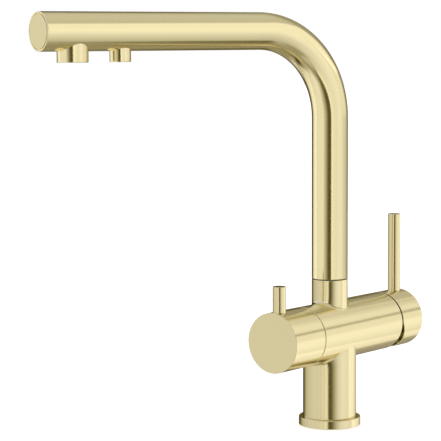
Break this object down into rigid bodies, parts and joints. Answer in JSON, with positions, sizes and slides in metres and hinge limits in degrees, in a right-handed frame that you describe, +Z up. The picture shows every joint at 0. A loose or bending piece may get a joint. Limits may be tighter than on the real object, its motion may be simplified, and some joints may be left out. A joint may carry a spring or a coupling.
{
  "type": "three way filtered water tap",
  "caption": "Kitchen tap with a swivelling swan-neck spout, a side lever that mixes hot and cold water, and a filter handle that feeds an inner pipe with its own outlet",
  "frame": {"origin": "centre of the foot's underside, on the worktop", "axes": "+Z up, +X along the barrel towards the mixer lever with the filter handle at -X, -Y towards the user; at rest the spout points 163.3 degrees round from +X, as in the picture"},
  "size_m": [0.3451, 0.1105, 0.3208],
  "materials": {
    "gold": "brushed champagne gold",
    "raw_brass": "machined",
    "ceramic_white": "ground and polished",
    "ceramic_grey": "ground and polished",
    "rubber_black": "matt",
    "acetal": "moulded",
    "grey_plastic": "moulded",
    "steel": "plain",
    "pipe_white": "extruded"
  },
  "bodies": {
    "tap_body": {"base_ring": "gold", "base_gasket": "rubber_black", "column": "gold", "valve_body": "gold", "spout_lock_screw": "steel", "filter_nozzle": "raw_brass", "cartridge_base": "acetal", "cartridge_seals": "rubber_black", "mixer_fixed_disc": "ceramic_white", "cartridge_housing": "acetal", "cartridge_nut": "raw_brass", "dome_cover": "gold", "filter_valve_housing": "raw_brass", "filter_fixed_disc": "ceramic_white", "filter_seat_seal": "rubber_black", "filter_housing_oring": "rubber_black"},
    "spout": {"spout_tube": "gold", "spout_end_plug": "gold", "main_outlet_sleeve": "gold", "filter_outlet_sleeve": "gold", "main_aerator_housing": "acetal", "main_aerator_screen": "steel", "main_aerator_seal": "rubber_black", "filter_stream_former": "acetal", "filter_outlet_seal": "rubber_black", "filter_elbow": "acetal", "filter_pipe": "pipe_white", "pipe_socket": "raw_brass", "pipe_oring": "rubber_black", "spout_spigot": "raw_brass", "spigot_orings": "rubber_black", "spigot_glide_ring": "grey_plastic", "swivel_washer": "grey_plastic"},
    "mixer_carrier": {"mixer_carrier": "acetal", "mixer_pivot_pin": "steel"},
    "mixer_disc": {"mixer_moving_disc": "ceramic_grey", "disc_coupler": "grey_plastic"},
    "mixer_handle": {"mixer_stem": "raw_brass", "mixer_cap": "gold", "mixer_lever": "gold", "mixer_grub_screw": "steel"},
    "filter_handle": {"filter_spindle": "raw_brass", "filter_moving_disc": "ceramic_grey", "spindle_orings": "rubber_black", "spindle_circlip": "steel", "filter_cap": "gold", "filter_pin": "gold", "filter_grub_screw": "steel"}
  },
  "joints": [
    {"name": "spout_swivel", "type": "hinge", "parent": "tap_body", "child": "spout", "pos_m": [0, 0, 0.115], "axis": [0, 0, 1], "continuous": true},
    {"name": "mixer_temperature", "type": "hinge", "parent": "tap_body", "child": "mixer_carrier", "pos_m": [0.062, 0, 0.0733], "axis": [1, 0, 0], "range_deg": [-45, 45]},
    {"name": "mixer_flow", "type": "hinge", "parent": "mixer_carrier", "child": "mixer_handle", "pos_m": [0.062, 0, 0.0733], "axis": [0, 1, 0], "range_deg": [0, 24]},
    {"name": "mixer_disc_slide", "type": "slide", "parent": "mixer_carrier", "child": "mixer_disc", "axis": [0, 0, 1], "range_m": [0, 0.0055]},
    {"name": "filter_turn", "type": "hinge", "parent": "tap_body", "child": "filter_handle", "pos_m": [-0.05, 0, 0.0733], "axis": [1, 0, 0], "range_deg": [0, 90]}
  ],
  "couplings": [
    {"joint": "mixer_disc_slide", "follows": "mixer_flow", "m_per_rad": 0.01285}
  ]
}
